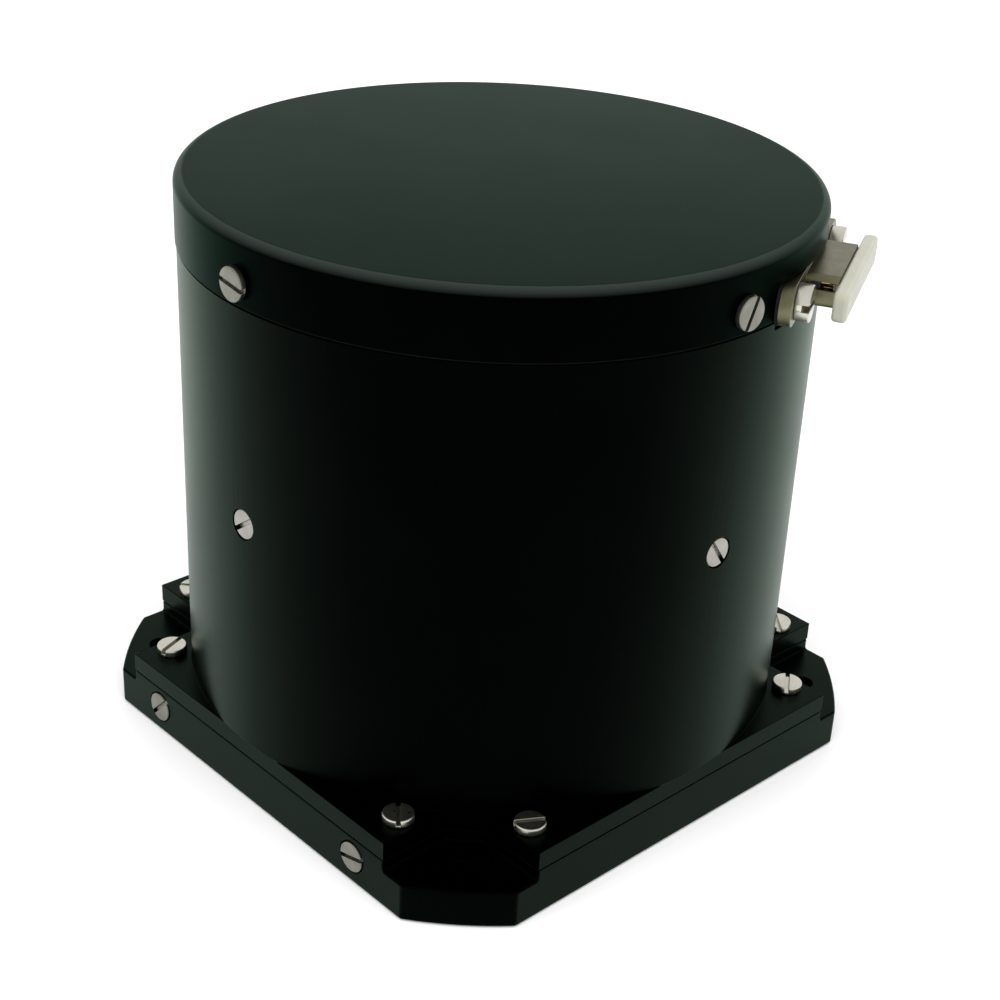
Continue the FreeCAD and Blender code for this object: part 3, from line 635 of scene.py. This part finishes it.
def contacts():
    tip = arc(CONTACT_R, 0, 90, 5, (0, CONTACT_TIP_U - CONTACT_R))
    root = low_u("connector_contacts")
    profile = [(0, root), (CONTACT_R, root)] + tip[:-1] + [(0, CONTACT_TIP_U)]
    pins = [place(lathe(profile, PIN_STEPS), turn(PORT_AZIMUTH) @ outward(0, t, z))
            for t, z in contact_places()]
    finish_piece(join("contact_pins", pins), "contact_pins", "gold_contact", "receiver", GOLD,
                 "connector_contacts")


def low_u(node):
    """How near a node comes to the housing's axis, along the connector's direction."""
    out = Vector((math.cos(math.radians(PORT_AZIMUTH)), math.sin(math.radians(PORT_AZIMUTH)), 0))
    return min(v.co.dot(out) for v in frame["nodes"][node].data.vertices) / MM


def dust_cap():
    seat = PORT_MOUTH_U + CAP_SEAT_GAP
    plate = port_plate(CAP_W, CAP_H, SHROUD_R, seat, seat + CAP_T)
    apply_modifiers(soften(plate, CAP_EDGE_R, 6))
    plug = port_plate(BORE_W - 2 * CAP_GAP, BORE_H - 2 * CAP_GAP, BORE_END_R,
                      seat - CAP_PLUG_LEN, seat + OVERLAP)
    carve(plate, plug, operation="UNION")
    place(plate, turn(PORT_AZIMUTH))
    finish_piece(tidy(plate), "cap_moulding", "white_cap", "dust_cap", CAP_WHITE, "dust_cap",
                 bevel=CAP_BEVEL)


# CAD nodes that stay ------------------------------------------------------------------------

def finish_cad_nodes():
    finishes = {
        RUBBER: ("base_seal", "lid_gasket", "connector_gasket"),
        INSULATOR: ("connector_insert", "power_module", "stack_plug", "stack_socket", "processor",
                    "backup_cell_holder", "riser_header"),
        CLEAR: ("chassis", "antenna_ground_plane"),
        BRASS: ("lower_standoffs", "upper_standoffs", "antenna_posts"),
        BOARD: ("interface_board", "receiver_board", "riser_board", "amplifier_board"),
        TIN: ("capacitors", "receiver_module_can", "clock_oscillator", "backup_cell", "amplifier_can"),
        STEEL: ("interface_board_screws", "antenna_screws"),
        FERRITE: ("power_inductor",),
        CERAMIC: ("antenna_ceramic",),
        SILVER: ("antenna_electrode",),
        GOLD: ("antenna_feed_pin", "coax_jacks", "coax_bullet"),
    }
    for finish, names in finishes.items():
        for name in names:
            node = frame["nodes"][name]
            node.data.materials.clear()
            node.data.materials.append(finish)


# Stage --------------------------------------------------------------------------------------

# Floor and lights are in metres and watts
FLOOR_SIZE, FLOOR_DROP = 6.0, 0.0002
WORLD_STRENGTH = 1.05
WASH_AT, WASH_TARGET = (-0.4, -0.4, 1.2), (0, 0, 0.05)
WASH_SIZE, WASH_POWER = (1.6, 1.6), 16.0
CAMERA_AT = (-191.6, -201.6, 185.95)
CAMERA_HEADING, CAMERA_TILT, CAMERA_ROLL = 46.04, -27.85, 2.87
CAMERA_LENS, CAMERA_SENSOR = 67.43, 36
CAMERA_NEAR, CAMERA_FAR = 0.01, 20


def floor():
    made, tree, shader = material("floor_white")
    vector = coordinates(tree)
    cloud = noise(tree, vector, scale=3, detail=2)
    tree.links.new(tint(tree, cloud, (0.86, 0.86, 0.86), (0.88, 0.88, 0.88)), shader.inputs["Base Color"])
    shader.inputs["Roughness"].default_value = 0.9
    shader.inputs["Specular IOR Level"].default_value = 0.0
    bm = bmesh.new()
    bmesh.ops.create_grid(bm, x_segments=1, y_segments=1, size=FLOOR_SIZE / 2)
    ground = new_object("floor", bm)
    ground.location.z = -FLOOR_DROP
    ground.data.materials.append(made)


def floor_wash():
    """Keeps the floor white round the part, without a reflection in the metal."""
    lamp = bpy.data.lights.new("floor_wash", "AREA")
    lamp.shape = "RECTANGLE"
    lamp.size, lamp.size_y = WASH_SIZE
    lamp.energy = WASH_POWER
    obj = bpy.data.objects.new("floor_wash", lamp)
    bpy.context.scene.collection.objects.link(obj)
    obj.location = WASH_AT
    obj.rotation_euler = (Vector(WASH_TARGET) - Vector(WASH_AT)).to_track_quat("-Z", "Y").to_euler()
    obj.visible_glossy = False


def lights():
    world = bpy.data.worlds.new("studio")
    world.use_nodes = True
    world.node_tree.nodes["Background"].inputs["Color"].default_value = (1, 1, 1, 1)
    world.node_tree.nodes["Background"].inputs["Strength"].default_value = WORLD_STRENGTH
    bpy.context.scene.world = world
    floor_wash()
    bpy.context.scene.view_settings.view_transform = "Standard"


def camera():
    data = bpy.data.cameras.new("camera")
    data.lens = CAMERA_LENS
    data.sensor_width = CAMERA_SENSOR
    data.clip_start, data.clip_end = CAMERA_NEAR, CAMERA_FAR
    obj = bpy.data.objects.new("camera", data)
    bpy.context.scene.collection.objects.link(obj)
    level = Matrix.Rotation(math.radians(CAMERA_HEADING - 90), 4, "Z")
    tilt = Matrix.Rotation(math.radians(90 + CAMERA_TILT), 4, "X")
    roll = Matrix.Rotation(math.radians(CAMERA_ROLL), 4, "Z")
    obj.matrix_world = Matrix.Translation(Vector(CAMERA_AT) * MM) @ level @ tilt @ roll
    bpy.context.scene.camera = obj


base()
housing()
lid()
screws()
connector()
contacts()
dust_cap()
finish_cad_nodes()
floor()
lights()
camera()
